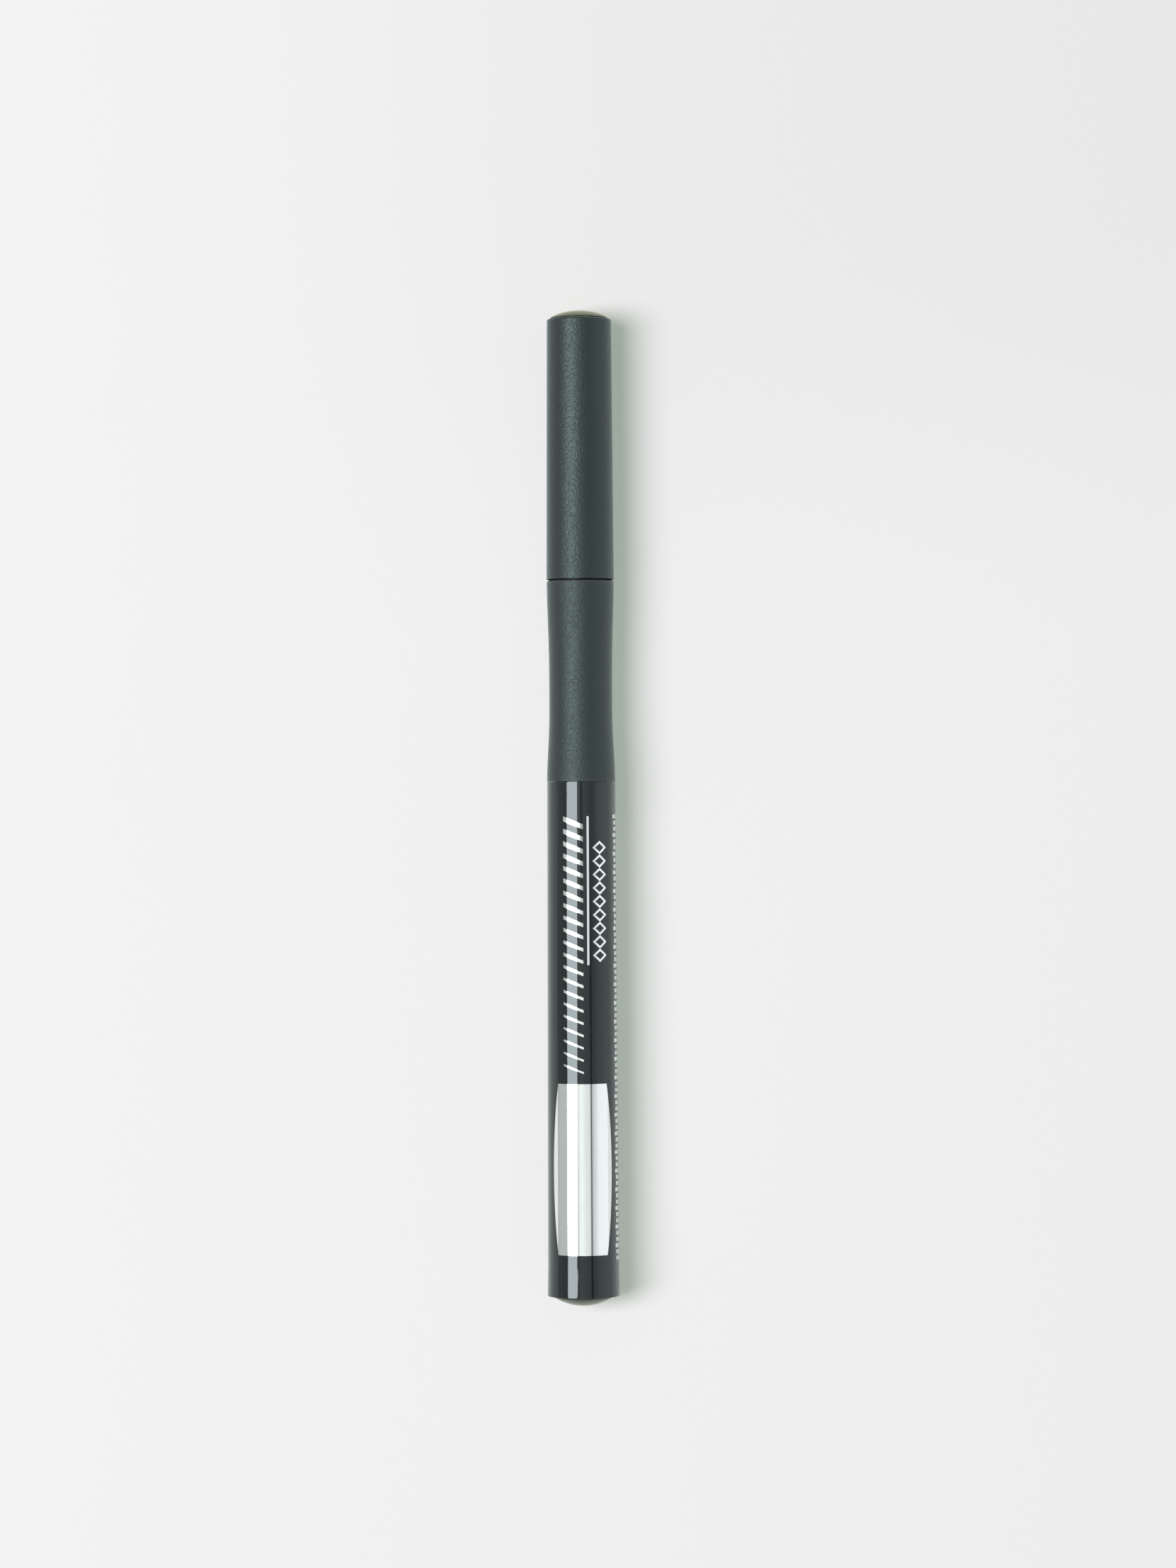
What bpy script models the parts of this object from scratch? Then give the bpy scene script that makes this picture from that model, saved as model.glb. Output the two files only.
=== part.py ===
# A closed felt-tip eyeliner pen that lies on its side.
# Metres, +Z up. The pen's axis runs along Y, with the cap towards +Y, and
# the pen rests on the ground plane. Along the axis, each piece is drawn from
# its own end, and then set at its station, counted from the barrel's rear.

import math

import bpy
from mathutils import Vector

# Lengths along the pen
barrel_length = 0.0712
grip_length = 0.0277
parting_gap = 0.0003
cap_length = 0.0361

# Clearances: pressed or seated pieces, the cap over the neck, soft fibre
seat_gap = 0.0001
slide_gap = 0.0001
fibre_gap = 0.0001

# Facets round every turned piece, one of them flat on the ground
sides = 32
fillet_steps = 3
fillet_side_share = 0.9
crease_angle = math.radians(35)
weld_distance = 0.000001

# Barrel: a tapered tube with a short flare at its rear end
barrel_bore_radius = 0.0038
barrel_front_wall = 0.00093
barrel_taper_wall = 0.001125
barrel_rear_wall = 0.0012
barrel_flare_length = 0.0046
barrel_band_length = 0.0016
barrel_front_fillet = 0.00006
barrel_rear_fillet = 0.0002
barrel_rim = 0.0004
flare_steps = 3

# Rear plug: a domed head on a hollow stem
rear_dome_rise = 0.0015
rear_head_thickness = 0.0008
rear_stem_length = 0.0055
rear_stem_wall = 0.0009
rear_stem_floor = 0.0009
dome_steps = 6

# Front section: tail in the barrel, core in the grip, flange, neck and land
tail_length = 0.0070
core_radius = 0.0035
core_wall = 0.0009
flange_lip = 0.0005
flange_thickness = 0.0008
neck_length = 0.0085
neck_bead_station = 0.0030
neck_bead_length = 0.0008
neck_bead_share = 0.6
land_length = 0.0025
section_fillet = 0.00025

# Grip sleeve: a waisted soft cover, with a small ring at its top
grip_ring_wall = 0.00032
grip_ring_step = 0.00022
grip_waist_wall = 0.000758
grip_end_wall = 0.00112
grip_waist_height = 0.0108
grip_top_fillet = 0.00012
grip_top_power_share = 1.6
grip_end_power_share = 1.25
grip_top_steps = 9
grip_end_steps = 8

# Nib, and the nose cone that grips it
nib_radius = 0.00085
nib_reach = 0.0063
nib_point_radius = 0.0002
nib_tail_length = 0.0040
nib_belly_power_share = 1.15
nib_steps = 7
nose_length = 0.0080
nose_base_length = 0.0009
nose_base_step = 0.0001
nose_tip_wall = 0.0003
nose_belly_power_share = 1.35
nose_steps = 6
nose_fillet = 0.0002
holder_wall = 0.0010
holder_stem_length = 0.0097

# Feed: wick, its guide in the tail, and the fibre reservoir in its film
wick_radius = 0.0011
wick_depth = 0.0080
wick_chamfer = 0.0002
guide_length = 0.0030
guide_lip_length = 0.0006
film_play = 0.00015
film_wall = 0.00015
fibre_end_gap = 0.0003
fibre_fillet = 0.0003

# Cap: tapered shell, domed plug and sealing liner
cap_mouth_wall = 0.00106
cap_top_wall = 0.00085
cap_mouth_fillet = 0.0001
cap_mouth_chamfer = 0.0002
cap_top_fillet = 0.00027
cap_rim = 0.0003
cap_dome_rise = 0.0012
cap_head_thickness = 0.0006
cap_stem_length = 0.0012
liner_wall = 0.0004
liner_floor = 0.0008
liner_fillet = 0.0006

# Sizes that follow from those above
barrel_front_radius = barrel_bore_radius + barrel_front_wall
barrel_taper_radius = barrel_bore_radius + barrel_taper_wall
barrel_rear_radius = barrel_bore_radius + barrel_rear_wall
rear_seat_radius = barrel_rear_radius - barrel_rim
rear_seat_depth = rear_head_thickness + seat_gap
rear_stem_radius = barrel_bore_radius - seat_gap

tail_radius = barrel_bore_radius - seat_gap
tail_lumen_radius = tail_radius - core_wall
core_lumen_radius = core_radius - core_wall
core_length = grip_length - seat_gap + parting_gap - seat_gap - flange_thickness
flange_radius = core_radius + flange_lip
neck_bead_height = slide_gap * neck_bead_share

grip_bore_radius = core_radius + seat_gap
grip_seat_radius = flange_radius + seat_gap
grip_ring_radius = grip_seat_radius + grip_ring_wall
grip_top_radius = grip_ring_radius + grip_ring_step
grip_waist_radius = grip_bore_radius + grip_waist_wall
grip_end_radius = grip_bore_radius + grip_end_wall
grip_body_length = grip_length - seat_gap
grip_ring_height = parting_gap - seat_gap
grip_seat_depth = flange_thickness + seat_gap

cap_bore_radius = core_radius + slide_gap
cap_mouth_radius = cap_bore_radius + cap_mouth_wall
cap_top_radius = cap_bore_radius + cap_top_wall
cap_seat_radius = cap_top_radius - cap_rim
cap_seat_depth = cap_head_thickness + seat_gap
cap_stem_radius = cap_bore_radius - seat_gap
cap_head_radius = cap_seat_radius - seat_gap
liner_radius = cap_bore_radius - seat_gap
liner_bore_radius = liner_radius - liner_wall

land_radius = liner_bore_radius - slide_gap
holder_bore_radius = nib_radius + seat_gap
holder_stem_radius = holder_bore_radius + holder_wall
land_bore_radius = holder_stem_radius + seat_gap
nose_base_radius = land_radius - nose_base_step
nose_tip_radius = holder_bore_radius + nose_tip_wall

guide_radius = tail_lumen_radius - seat_gap
wick_bore_radius = wick_radius + fibre_gap
film_radius = barrel_bore_radius - film_play
film_bore_radius = film_radius - film_wall
fibre_radius = film_bore_radius - fibre_gap

# Stations along the pen, counted from the barrel's rear end
grip_station = barrel_length + seat_gap
tail_station = barrel_length - tail_length
flange_station = barrel_length + grip_length + parting_gap - seat_gap
neck_station = flange_station + neck_length
land_station = neck_station + land_length
nose_station = land_station + seat_gap
nose_tip_station = nose_station + nose_length
nib_tip_station = nose_tip_station + nib_reach
holder_rear_station = land_station - holder_stem_length
nib_rear_station = holder_rear_station - nib_tail_length
cap_station = barrel_length + grip_length + parting_gap
cap_top_station = cap_station + cap_length
liner_station = neck_station + parting_gap
liner_top_station = cap_top_station - cap_seat_depth - cap_stem_length - seat_gap
fibre_rear_station = rear_stem_length + rear_seat_depth + fibre_end_gap
fibre_front_station = tail_station - guide_lip_length - seat_gap - fibre_end_gap
wick_rear_station = fibre_front_station - wick_depth
wick_front_station = nib_rear_station - fibre_gap

# The pen's middle sits over the origin, and a facet of the flare on the ground
pen_middle = (cap_top_station + cap_dome_rise - rear_dome_rise) / 2
rest_height = barrel_rear_radius * math.cos(math.pi / sides)
facet_turn = math.pi / sides
lying_turn = -math.pi / 2


def clear_scene():
    for item in list(bpy.data.objects):
        bpy.data.objects.remove(item, do_unlink=True)


def make_material(name, colour, roughness, metallic=0):
    material = bpy.data.materials.new(name)
    material.use_nodes = True
    shader = material.node_tree.nodes["Principled BSDF"]
    shader.inputs["Base Color"].default_value = (*colour, 1)
    shader.inputs["Roughness"].default_value = roughness
    shader.inputs["Metallic"].default_value = metallic
    material.diffuse_color = (*colour, 1)
    return material


def make_empty(name, station, parent=None):
    # An axis marker: its own Z runs along the pen, towards the cap
    empty = bpy.data.objects.new(name, None)
    empty.parent = parent
    empty.location = (0, 0, station)
    pen.objects.link(empty)
    return empty


def ease(share, power):
    # From 0 to 1, level at both ends; the power moves the steep part
    bent = share ** power
    return bent * bent * (3 - 2 * bent)


def fillet(before, corner, after, radius):
    # The arc that rounds a corner, kept within both of its sides
    to_before = before - corner
    to_after = after - corner
    half_angle = to_before.angle(to_after) / 2
    shorter_side = min(to_before.length, to_after.length)
    reach = min(radius / math.tan(half_angle), shorter_side * fillet_side_share)
    radius = reach * math.tan(half_angle)
    bisector = (to_before.normalized() + to_after.normalized()).normalized()
    centre = corner + bisector * (radius / math.sin(half_angle))
    start = corner + to_before.normalized() * reach - centre
    sweep = start.angle_signed(corner + to_after.normalized() * reach - centre)
    turns = [-sweep * step / fillet_steps for step in range(fillet_steps + 1)]
    return [
        (
            centre.x + start.x * math.cos(turn) - start.y * math.sin(turn),
            centre.y + start.x * math.sin(turn) + start.y * math.cos(turn),
        )
        for turn in turns
    ]


def outline(corners):
    # Each corner is (radius, height), or has a third value that rounds it
    points = []
    for index, corner in enumerate(corners):
        if len(corner) == 2:
            points.append(corner)
            continue
        before = Vector(corners[index - 1][:2])
        after = Vector(corners[(index + 1) % len(corners)][:2])
        points += fillet(before, Vector(corner[:2]), after, corner[2])
    return points


def spherical_dome(base_radius, rise):
    # Down from the head's flat face at height zero, from rim to apex
    sphere_radius = (base_radius ** 2 + rise ** 2) / (2 * rise)
    rim_angle = math.asin(base_radius / sphere_radius)
    points = []
    for step in range(dome_steps):
        angle = rim_angle * (1 - step / dome_steps)
        points.append((sphere_radius * math.sin(angle),
                       sphere_radius - rise - sphere_radius * math.cos(angle)))
    points.append((0, -rise))
    return points


def elliptic_dome(base_radius, rise):
    # Up from height zero, upright at the rim and level at the apex, apex first
    points = [(0, rise)]
    for step in range(1, dome_steps + 1):
        angle = math.pi / 2 * step / dome_steps
        points.append((base_radius * math.sin(angle), rise * math.cos(angle)))
    return points


def turned(name, corners, material, parent, station):
    # A profile turned about its own Z. It runs down its outer side, from
    # top to bottom. It closes on itself, or starts and ends on the axis.
    points = outline(corners)
    closed = points[0][0] > 0
    count = len(points)
    edges = [(index, index + 1) for index in range(count - 1)]
    if closed:
        edges.append((count - 1, 0))
    profile = bpy.data.meshes.new(name + "_profile")
    profile.from_pydata([(radius, 0, height) for radius, height in points], edges, [])
    piece = bpy.data.objects.new(name, profile)
    pen.objects.link(piece)
    screw = piece.modifiers.new("turn", "SCREW")
    screw.steps = sides
    screw.render_steps = sides
    screw.use_merge_vertices = True
    screw.merge_threshold = weld_distance
    # The turned mesh replaces the profile, so that its creases can be set
    evaluated = piece.evaluated_get(bpy.context.evaluated_depsgraph_get())
    mesh = bpy.data.meshes.new_from_object(evaluated)
    piece.modifiers.clear()
    piece.data = mesh
    bpy.data.meshes.remove(profile)
    mesh.name = name
    mesh.shade_smooth()
    mesh.set_sharp_from_angle(angle=crease_angle)
    mesh.materials.append(material)
    piece.parent = parent
    piece.location = (0, 0, station)
    piece.rotation_euler = (0, 0, facet_turn)
    return piece


def make_barrel():
    material = make_material("barrel_gloss", (0.035, 0.04, 0.042), 0.08)
    corners = [
        (barrel_bore_radius, barrel_length),
        (barrel_front_radius, barrel_length, barrel_front_fillet),
        (barrel_taper_radius, barrel_flare_length),
    ]
    flare_height = barrel_flare_length - barrel_band_length
    for step in range(1, flare_steps + 1):
        share = step / flare_steps
        rise = (barrel_rear_radius - barrel_taper_radius) * math.sin(share * math.pi / 2)
        corners.append((barrel_taper_radius + rise, barrel_flare_length - flare_height * share))
    corners += [
        (barrel_rear_radius, 0, barrel_rear_fillet),
        (rear_seat_radius, 0),
        (rear_seat_radius, rear_seat_depth),
        (barrel_bore_radius, rear_seat_depth),
    ]
    turned("barrel", corners, material, pen_axis, 0)


def make_rear_plug():
    material = make_material("plug_gloss", (0.04, 0.045, 0.047), 0.2)
    head_radius = rear_seat_radius - seat_gap
    stem_top = rear_seat_depth + rear_stem_length
    hollow_radius = rear_stem_radius - rear_stem_wall
    hollow_floor = rear_head_thickness + rear_stem_floor
    corners = [
        (0, hollow_floor),
        (hollow_radius, hollow_floor),
        (hollow_radius, stem_top),
        (rear_stem_radius, stem_top, section_fillet),
        (rear_stem_radius, rear_head_thickness),
        (head_radius, rear_head_thickness),
    ]
    corners += spherical_dome(head_radius, rear_dome_rise)
    turned("rear_plug", corners, material, pen_axis, 0)


def make_front_section():
    material = make_material("section_plastic", (0.03, 0.032, 0.034), 0.35)
    tail_top = tail_length - seat_gap
    core_bottom = tail_length + seat_gap
    flange_bottom = core_bottom + core_length
    flange_top = flange_bottom + flange_thickness
    neck_top = flange_top + neck_length
    land_top = neck_top + land_length
    bead_bottom = flange_top + neck_bead_station
    bead_top = bead_bottom + neck_bead_length
    bead_radius = core_radius + neck_bead_height
    bead_slope = neck_bead_length / 4
    stem_floor = land_top - holder_stem_length - seat_gap
    corners = [
        (land_bore_radius, land_top),
        (land_radius, land_top, section_fillet),
        (land_radius, neck_top),
        (core_radius, neck_top, section_fillet),
        (core_radius, bead_top),
        (bead_radius, bead_top - bead_slope),
        (bead_radius, bead_bottom + bead_slope),
        (core_radius, bead_bottom),
        (core_radius, flange_top),
        (flange_radius, flange_top),
        (flange_radius, flange_bottom),
        (core_radius, flange_bottom),
        (core_radius, core_bottom),
        (tail_radius, tail_top),
        (tail_radius, 0, section_fillet),
        (tail_lumen_radius, 0),
        (tail_lumen_radius, tail_top),
        (core_lumen_radius, core_bottom),
        (core_lumen_radius, stem_floor),
        (land_bore_radius, stem_floor),
    ]
    turned("front_section", corners, material, pen_axis, tail_station)


def make_grip_sleeve():
    material = make_material("sleeve_soft_touch", (0.06, 0.068, 0.068), 0.6)
    ring_top = grip_body_length + grip_ring_height
    seat_floor = ring_top - grip_seat_depth
    corners = [
        (grip_seat_radius, ring_top),
        (grip_ring_radius, ring_top),
        (grip_ring_radius, grip_body_length),
        (grip_top_radius, grip_body_length, grip_top_fillet),
    ]
    for step in range(1, grip_top_steps + 1):
        share = 1 - step / grip_top_steps
        swell = (grip_top_radius - grip_waist_radius) * ease(share, grip_top_power_share)
        height = grip_waist_height + (grip_body_length - grip_waist_height) * share
        corners.append((grip_waist_radius + swell, height))
    for step in range(1, grip_end_steps + 1):
        share = step / grip_end_steps
        swell = (grip_end_radius - grip_waist_radius) * ease(share, grip_end_power_share)
        corners.append((grip_waist_radius + swell, grip_waist_height * (1 - share)))
    corners += [
        (grip_bore_radius, 0),
        (grip_bore_radius, seat_floor),
        (grip_seat_radius, seat_floor),
    ]
    turned("grip_sleeve", corners, material, pen_axis, grip_station)


def make_nib_holder():
    material = make_material("holder_plastic", (0.025, 0.026, 0.028), 0.3)
    corners = [
        (holder_bore_radius, nose_length),
        (nose_tip_radius, nose_length, nose_fillet),
    ]
    cone_length = nose_length - nose_base_length
    for step in range(1, nose_steps + 1):
        share = step / nose_steps
        swell = (nose_base_radius - nose_tip_radius) * (1 - (1 - share) ** nose_belly_power_share)
        corners.append((nose_tip_radius + swell, nose_length - cone_length * share))
    corners += [
        (nose_base_radius, 0),
        (holder_stem_radius, 0),
        (holder_stem_radius, -holder_stem_length, section_fillet),
        (holder_bore_radius, -holder_stem_length),
    ]
    turned("nib_holder", corners, material, pen_axis, nose_station)


def make_nib():
    material = make_material("nib_felt", (0.012, 0.012, 0.013), 0.85)
    stem_length = nose_tip_station - nib_rear_station
    point_height = stem_length + nib_reach - nib_point_radius
    corners = [(0, stem_length + nib_reach)]
    corners.append((nib_point_radius * math.sin(math.pi / 4),
                    point_height + nib_point_radius * math.cos(math.pi / 4)))
    for step in range(nib_steps + 1):
        share = step / nib_steps
        swell = (nib_radius - nib_point_radius) * (1 - (1 - share) ** nib_belly_power_share)
        corners.append((nib_point_radius + swell,
                        stem_length + (point_height - stem_length) * (1 - share)))
    corners += [
        (nib_radius, 0, wick_chamfer),
        (0, 0),
    ]
    turned("nib", corners, material, pen_axis, nib_rear_station)


def make_feed_wick():
    material = make_material("wick_fibre", (0.02, 0.02, 0.022), 0.9)
    length = wick_front_station - wick_rear_station
    corners = [
        (0, length),
        (wick_radius, length, wick_chamfer),
        (wick_radius, 0, wick_chamfer),
        (0, 0),
    ]
    turned("feed_wick", corners, material, pen_axis, wick_rear_station)


def make_wick_guide():
    # A plug in the tail's mouth, with a lip that stops it and the reservoir
    material = make_material("guide_plastic", (0.55, 0.56, 0.56), 0.4)
    lip_top = guide_lip_length
    guide_top = lip_top + seat_gap + guide_length
    corners = [
        (wick_bore_radius, guide_top),
        (guide_radius, guide_top, section_fillet),
        (guide_radius, lip_top),
        (tail_radius, lip_top),
        (tail_radius, 0),
        (wick_bore_radius, 0),
    ]
    guide_station = tail_station - guide_lip_length - seat_gap
    turned("wick_guide", corners, material, pen_axis, guide_station)


def make_ink_reservoir():
    material = make_material("reservoir_fibre", (0.02, 0.02, 0.024), 0.95)
    length = fibre_front_station - fibre_rear_station
    socket_floor = length - wick_depth - fibre_gap
    corners = [
        (0, socket_floor),
        (wick_bore_radius, socket_floor),
        (wick_bore_radius, length),
        (fibre_radius, length, fibre_fillet),
        (fibre_radius, 0, fibre_fillet),
        (0, 0),
    ]
    turned("ink_reservoir", corners, material, pen_axis, fibre_rear_station)


def make_reservoir_film():
    material = make_material("film_plastic", (0.8, 0.81, 0.82), 0.25)
    length = fibre_front_station - fibre_rear_station
    corners = [
        (film_bore_radius, length),
        (film_radius, length),
        (film_radius, 0),
        (film_bore_radius, 0),
    ]
    turned("reservoir_film", corners, material, pen_axis, fibre_rear_station)


def make_cap_shell():
    material = make_material("cap_soft_touch", (0.06, 0.068, 0.068), 0.6)
    seat_floor = cap_length - cap_seat_depth
    groove_middle = neck_bead_station + neck_bead_length / 2 - seat_gap
    groove_half = neck_bead_length / 2 + slide_gap
    groove_radius = cap_bore_radius + neck_bead_height
    corners = [
        (cap_seat_radius, cap_length),
        (cap_top_radius, cap_length, cap_top_fillet),
        (cap_mouth_radius, 0, cap_mouth_fillet),
        (cap_bore_radius + cap_mouth_chamfer, 0),
        (cap_bore_radius, cap_mouth_chamfer),
        (cap_bore_radius, groove_middle - groove_half),
        (groove_radius, groove_middle),
        (cap_bore_radius, groove_middle + groove_half),
        (cap_bore_radius, seat_floor),
        (cap_seat_radius, seat_floor),
    ]
    turned("cap_shell", corners, material, cap_axis, 0)


def make_cap_top_plug():
    material = make_material("cap_plug_satin", (0.06, 0.065, 0.062), 0.35)
    head_bottom = -cap_head_thickness
    stem_bottom = -cap_seat_depth - cap_stem_length
    corners = elliptic_dome(cap_head_radius, cap_dome_rise)
    corners += [
        (cap_head_radius, head_bottom),
        (cap_stem_radius, head_bottom),
        (cap_stem_radius, stem_bottom, section_fillet),
        (0, stem_bottom),
    ]
    turned("cap_top_plug", corners, material, cap_axis, cap_length)


def make_inner_cap():
    # A thin cup, open towards the nib, that closes on the seal land
    material = make_material("liner_plastic", (0.6, 0.61, 0.61), 0.35)
    length = liner_top_station - liner_station
    floor_height = length - liner_floor
    corners = [
        (0, length),
        (liner_radius, length, liner_fillet),
        (liner_radius, 0),
        (liner_bore_radius, 0),
        (liner_bore_radius, floor_height),
        (0, floor_height),
    ]
    turned("inner_cap", corners, material, cap_axis, liner_station - cap_station)


clear_scene()
pen = bpy.data.collections.new("eyeliner_pen")
bpy.context.scene.collection.children.link(pen)

pen_axis = make_empty("pen_axis", 0)
pen_axis.location = (0, -pen_middle, rest_height)
pen_axis.rotation_euler = (lying_turn, 0, 0)
# The cap slides along this axis, from its mouth at rest
cap_axis = make_empty("cap_axis", cap_station, pen_axis)

make_barrel()
make_rear_plug()
make_front_section()
make_grip_sleeve()
make_nib_holder()
make_nib()
make_feed_wick()
make_wick_guide()
make_ink_reservoir()
make_reservoir_film()
make_cap_shell()
make_cap_top_plug()
make_inner_cap()
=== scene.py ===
# The closed eyeliner pen's looks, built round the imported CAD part.
# Metres, +Z up. The pen lies along Y with its cap towards +Y. A turned piece
# is drawn as (radius, place along Y) in millimetres, and set in metres once.

import math

import bmesh
import bpy
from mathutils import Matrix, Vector, noise


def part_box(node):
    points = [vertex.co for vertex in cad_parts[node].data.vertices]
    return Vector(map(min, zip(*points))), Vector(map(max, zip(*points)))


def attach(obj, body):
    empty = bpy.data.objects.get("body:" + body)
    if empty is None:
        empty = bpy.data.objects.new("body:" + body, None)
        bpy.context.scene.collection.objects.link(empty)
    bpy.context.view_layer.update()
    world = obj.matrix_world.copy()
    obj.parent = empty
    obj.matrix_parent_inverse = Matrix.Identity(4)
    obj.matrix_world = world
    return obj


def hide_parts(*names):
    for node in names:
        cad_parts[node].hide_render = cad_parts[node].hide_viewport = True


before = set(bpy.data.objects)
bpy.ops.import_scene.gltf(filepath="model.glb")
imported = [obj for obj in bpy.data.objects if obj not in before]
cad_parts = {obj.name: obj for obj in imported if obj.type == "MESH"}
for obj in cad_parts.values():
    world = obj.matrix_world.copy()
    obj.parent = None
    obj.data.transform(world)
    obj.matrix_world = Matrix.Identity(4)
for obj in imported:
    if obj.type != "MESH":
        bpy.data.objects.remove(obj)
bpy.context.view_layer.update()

mm = 0.001
smoothTurns = 144                    # sides of the round pieces made here
creaseAngle = math.radians(32)       # a sharper bend than this is shaded as an edge
shiftWay = (1, 0.7, -1)              # the way in which a shift moves a noise

barrelLow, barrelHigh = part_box("barrel")
axisHeight = (barrelLow.z + barrelHigh.z) / 2 / mm


def ends(node):
    # Where a CAD node starts and ends along the pen, in millimetres
    low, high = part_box(node)
    return low.y / mm, high.y / mm


def onPen(radius, angle, along):
    # A point in metres, from its radius and its place along the pen in
    # millimetres. The angle round the pen is 0 on top and grows towards +X.
    return Vector((radius * math.sin(angle), along, axisHeight + radius * math.cos(angle))) * mm


# Shader nodes

class Wire:
    # A node's output. Sums and products on it add Math nodes beside it.
    def __init__(self, board, socket):
        self.board = board
        self.socket = socket

    def __add__(self, other):
        return self.board.maths("ADD", self, other)

    def __sub__(self, other):
        return self.board.maths("SUBTRACT", self, other)

    def __rsub__(self, other):
        return self.board.maths("SUBTRACT", other, self)

    def __mul__(self, other):
        return self.board.maths("MULTIPLY", self, other)

    def __truediv__(self, other):
        return self.board.maths("DIVIDE", self, other)

    def __rtruediv__(self, other):
        return self.board.maths("DIVIDE", other, self)

    __radd__ = __add__
    __rmul__ = __mul__


class Board:
    # The nodes of one material, or of the world
    def __init__(self, tree):
        self.tree = tree
        self.place = None
        tree.nodes.clear()

    def node(self, kind, settings=None, sockets=None, output=0):
        made = self.tree.nodes.new(kind)
        for setting, value in (settings or {}).items():
            if setting == "stops":
                self.setStops(made.color_ramp.elements, value)
            else:
                setattr(made, setting, value)
        for name, value in (sockets or {}).items():
            socket = made.inputs[name]
            if isinstance(value, Wire):
                self.tree.links.new(value.socket, socket)
            else:
                # Colours are written as red, green and blue
                socket.default_value = (*value, 1) if socket.type == "RGBA" else value
        outlet = made.outputs[output] if made.outputs else None
        return Wire(self, outlet)

    def setStops(self, elements, stops):
        while len(elements) < len(stops):
            elements.new(1)
        for element, (position, colour) in zip(elements, stops):
            element.position = position
            element.color = (*colour, 1)

    def maths(self, operation, *values):
        return self.node("ShaderNodeMath", {"operation": operation}, dict(enumerate(values)))

    def vector(self, operation, *values, output=0):
        return self.node("ShaderNodeVectorMath", {"operation": operation}, dict(enumerate(values)), output)

    def mix(self, share, first, second, blend="MIX"):
        # Colours only; 6 and 7 are the colour sockets of the Mix node
        settings = {"data_type": "RGBA", "blend_type": blend}
        return self.node("ShaderNodeMix", settings, {0: share, 6: first, 7: second}, 2)

    def at(self):
        # Where a point is on its piece, in metres in the shared frame at rest
        if self.place is None:
            self.place = self.node("ShaderNodeTexCoord", output=3)
        return self.place

    def axes(self, spot):
        return [self.node("ShaderNodeSeparateXYZ", None, {0: spot}, axis) for axis in range(3)]

    def grain(self, size, detail=2, stretch=1, shift=0, contrast=1):
        # Noise near 0.5, with features of about this size in millimetres that
        # are stretched along the pen. The shift picks another part of it.
        scale = [1 / (size * mm * side) for side in (1, stretch, 1)]
        spot = self.vector("MULTIPLY", self.at(), scale)
        spot = self.vector("ADD", spot, [shift * side for side in shiftWay])
        made = self.node("ShaderNodeTexNoise", None, {"Vector": spot, "Scale": 1, "Detail": detail})
        return made if contrast == 1 else self.clamped((made - 0.5) * contrast + 0.5)

    def specks(self, spacing, edge):
        # 1 in small dots about this many millimetres apart, and 0 around them
        cells = self.node("ShaderNodeTexVoronoi", None, {"Vector": self.at(), "Scale": 1 / (spacing * mm)})
        return 1 - self.band(cells, *edge)

    def clamped(self, value):
        return self.maths("MINIMUM", self.maths("MAXIMUM", value, 0), 1)

    def band(self, value, start, end):
        # 0 before start, 1 after end, and a smooth step between them
        settings = {"interpolation_type": "SMOOTHSTEP"}
        sockets = {"Value": value, "From Min": start, "From Max": end, "To Min": 0, "To Max": 1}
        return self.node("ShaderNodeMapRange", settings, sockets)

    def near(self, value, middle, fade):
        # 1 at the middle, and 0 this far from it on both sides
        return self.band(value, middle - fade, middle) * (1 - self.band(value, middle, middle + fade))

    def bump(self, height, distance, strength=1, normal=None):
        # The distance is in millimetres
        sockets = {"Height": height, "Distance": distance * mm, "Strength": strength}
        if normal is not None:
            sockets["Normal"] = normal
        return self.node("ShaderNodeBump", None, sockets)

    def surface(self, sockets, far=None):
        # A plastic, metal or fibre, and another shader where it is far away
        shader = self.node("ShaderNodeBsdfPrincipled", None, sockets)
        if far:
            shader = self.node("ShaderNodeMixShader", None, {0: far[0], 1: shader, 2: far[1]})
        self.node("ShaderNodeOutputMaterial", None, {"Surface": shader})

    def rays(self):
        # 1 for rays from the camera, off something glossy, and through glass
        return [self.node("ShaderNodeLightPath", output=index) for index in (0, 3, 6)]


# Finishes. Sizes, depths and spacings are in millimetres.

finishes = {}


def newFinish(name):
    # Keeps the new material in finishes, and gives the board of its nodes
    material = bpy.data.materials.new(name)
    material.use_nodes = True
    finishes[name] = material
    return Board(material.node_tree)


softTouchLook = {
    "colour": (0.0105, 0.0140, 0.0150),
    "paleColour": (0.0180, 0.0225, 0.0225),
    "wornColour": (0.050, 0.056, 0.055),
    "mottle": {"size": 0.9, "detail": 3, "stretch": 2.2, "shift": 3},
    "mottleDepth": 0.0088,
    "mottleRoughness": 0.08,
    "grain": {"size": 0.17, "shift": 7},
    "grainDepth": 0.011,
    "grainPaleness": 0.35,
    "speckle": {"size": 0.3, "shift": 13, "contrast": 1.7},
    "speckleRoughness": 0.2,
    "rub": {"size": 3.5, "detail": 4, "stretch": 3, "shift": 11, "contrast": 2.2},
    "rubRoughness": 0.05,
    "wearWidth": 0.35,
    "wearPaleness": 0.5,
    "specularTint": (0.765, 1.0, 0.99),
    "sheenRoughness": 0.36,
}

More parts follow.
